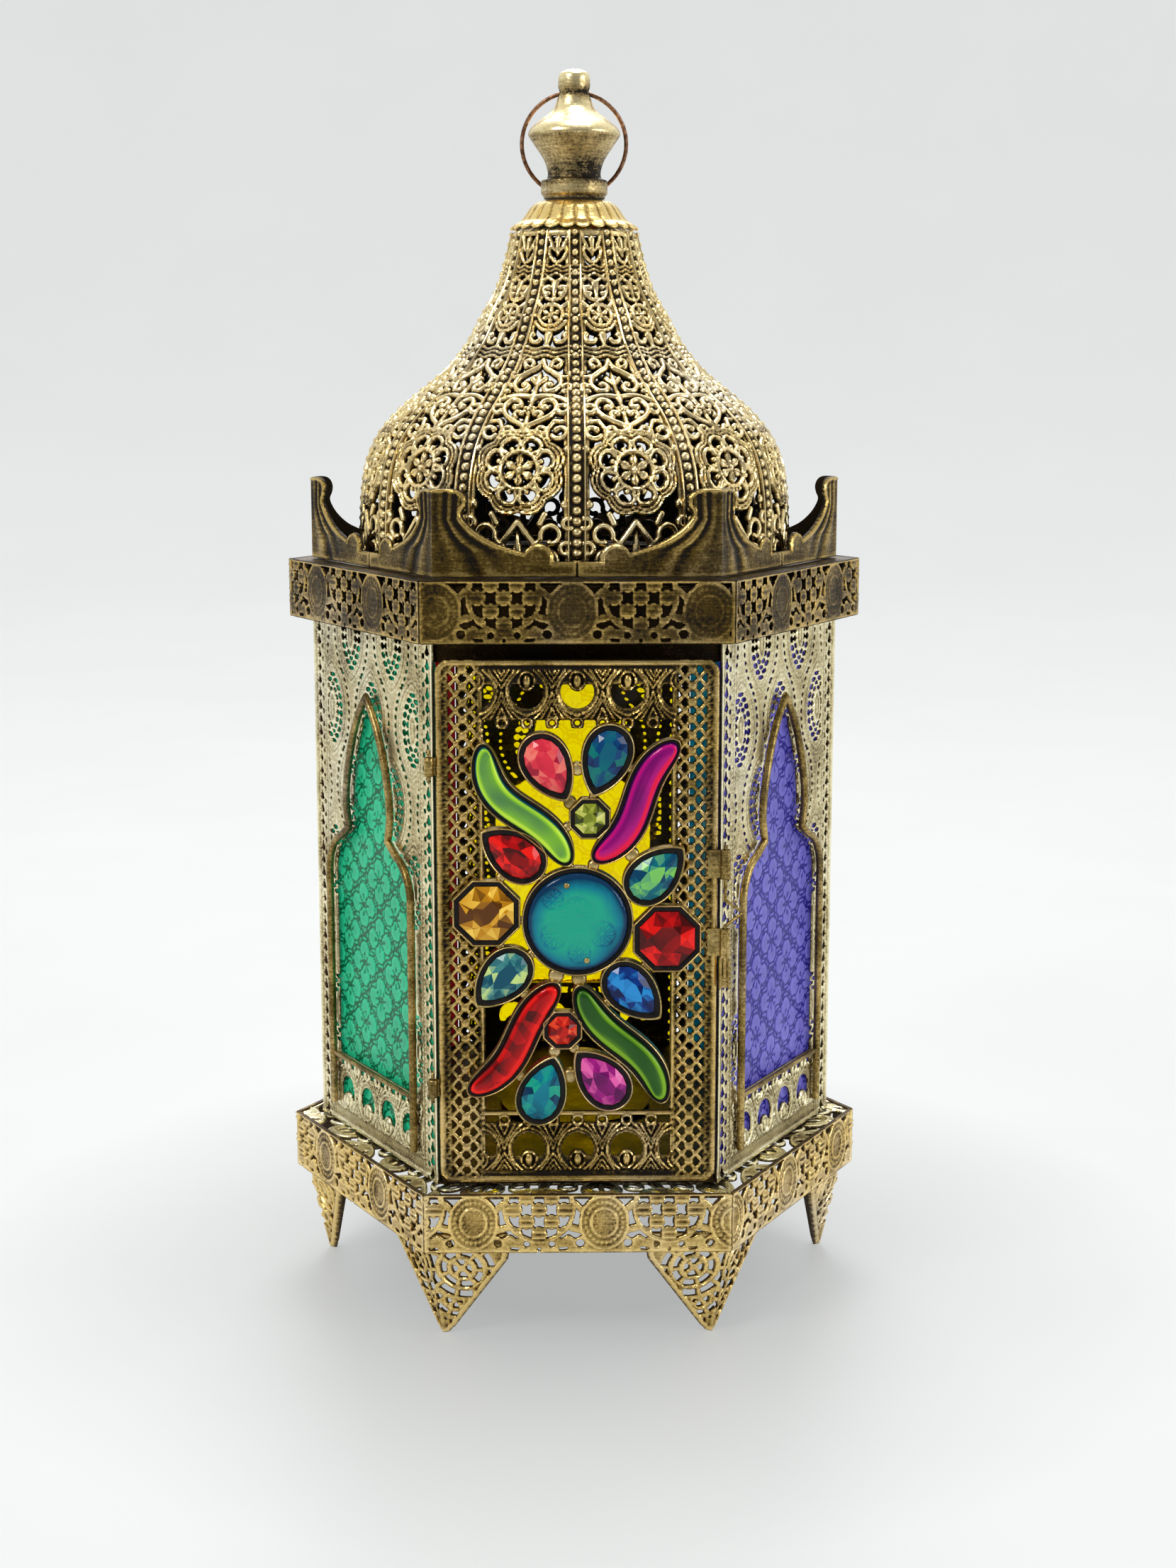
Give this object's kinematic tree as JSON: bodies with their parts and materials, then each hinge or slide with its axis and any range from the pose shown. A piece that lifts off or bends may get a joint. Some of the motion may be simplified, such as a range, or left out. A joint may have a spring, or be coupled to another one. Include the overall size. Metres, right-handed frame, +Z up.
{
  "type": "candle lantern",
  "caption": "Six-sided pierced brass candle lantern with coloured panes, a gem-set hinged door with a wire latch, an ogee dome and a finial with a hanging ring.",
  "frame": {"origin": "on the floor under the lantern's axis", "axes": "+Z up along the axis; two corners of the hexagon lie on the X axis; the door faces -Y"},
  "size_m": [0.1662, 0.144, 0.34],
  "materials": {
    "brass_dark": "aged, dark patina",
    "brass_gold": "antique, brushed wear over brown patina",
    "brass_bright": "polished, worn bright",
    "wire_copper": "tarnished coppery wire",
    "glass_green": "pressed coloured glass",
    "glass_violet": "pressed coloured glass",
    "glass_yellow": "pressed coloured glass",
    "glass_red": "pressed coloured glass",
    "glass_turquoise": "pressed coloured glass",
    "gem_teal": "faceted, foil-backed",
    "gem_amber": "faceted, foil-backed",
    "gem_red": "faceted, foil-backed",
    "gem_chartreuse": "faceted, foil-backed",
    "gem_orange": "faceted, foil-backed",
    "gem_pink": "faceted, foil-backed",
    "gem_sky": "faceted, foil-backed",
    "gem_sea": "faceted, foil-backed",
    "gem_aqua": "faceted, foil-backed",
    "gem_blue": "faceted, foil-backed",
    "gem_magenta": "faceted, foil-backed",
    "gem_lime": "smooth domed",
    "gem_crimson": "smooth domed",
    "gem_green": "smooth domed"
  },
  "bodies": {
    "lantern": {"base_tray": "brass_dark", "base_band": "brass_gold", "top_band": "brass_dark", "roof_deck": "brass_gold", "foot_right": "brass_gold", "foot_back_right": "brass_gold", "foot_back_left": "brass_gold", "foot_left": "brass_gold", "foot_front_left": "brass_gold", "foot_front_right": "brass_gold", "crown_leaf_right": "brass_gold", "crown_leaf_back_right": "brass_gold", "crown_leaf_back_left": "brass_gold", "crown_leaf_left": "brass_gold", "crown_leaf_front_left": "brass_gold", "crown_leaf_front_right": "brass_gold", "panel_right_front": "brass_gold", "moulding_right_front": "brass_bright", "pane_right_front": "glass_violet", "panel_right_back": "brass_gold", "moulding_right_back": "brass_bright", "pane_right_back": "glass_turquoise", "panel_back": "brass_gold", "moulding_back": "brass_bright", "pane_back": "glass_yellow", "panel_left_back": "brass_gold", "moulding_left_back": "brass_bright", "pane_left_back": "glass_red", "panel_left_front": "brass_gold", "moulding_left_front": "brass_bright", "pane_left_front": "glass_green", "dome": "brass_gold", "petal_cap": "brass_gold", "finial": "brass_bright", "hinge_staple_lower": "brass_gold", "hinge_staple_upper": "brass_gold", "latch_keeper": "brass_gold"},
    "door": {"door_panel": "brass_dark", "gem_setting": "brass_bright", "clasp_upper": "brass_gold", "clasp_lower": "brass_gold", "stone_centre": "gem_teal", "stone_octagon_left": "gem_amber", "stone_octagon_right": "gem_red", "stone_octagon_upper": "gem_chartreuse", "stone_octagon_lower": "gem_orange", "stone_pear_top_left": "gem_pink", "stone_pear_top_right": "gem_sky", "stone_pear_upper_left": "gem_red", "stone_pear_upper_right": "gem_sea", "stone_pear_lower_left": "gem_aqua", "stone_pear_lower_right": "gem_blue", "stone_pear_bottom_left": "gem_teal", "stone_pear_bottom_right": "gem_magenta", "stone_s_upper_left": "gem_lime", "stone_s_upper_right": "gem_crimson", "stone_s_lower_left": "gem_red", "stone_s_lower_right": "gem_green"},
    "latch": {"latch_bolt": "brass_bright"},
    "ring": {"hanging_ring": "wire_copper"}
  },
  "joints": [
    {"name": "door_hinge", "type": "hinge", "parent": "lantern", "child": "door", "pos_m": [-0.0386, -0.0669, 0.115], "axis": [0, 0, -1], "range_deg": [0, 175]},
    {"name": "latch_slide", "type": "slide", "parent": "door", "child": "latch", "axis": [0, 0, 1], "range_m": [0, 0.0055]},
    {"name": "ring_swing", "type": "hinge", "parent": "lantern", "child": "ring", "pos_m": [0, 0, 0.334], "axis": [1, 0, 0], "range_deg": [0, 319]}
  ]
}
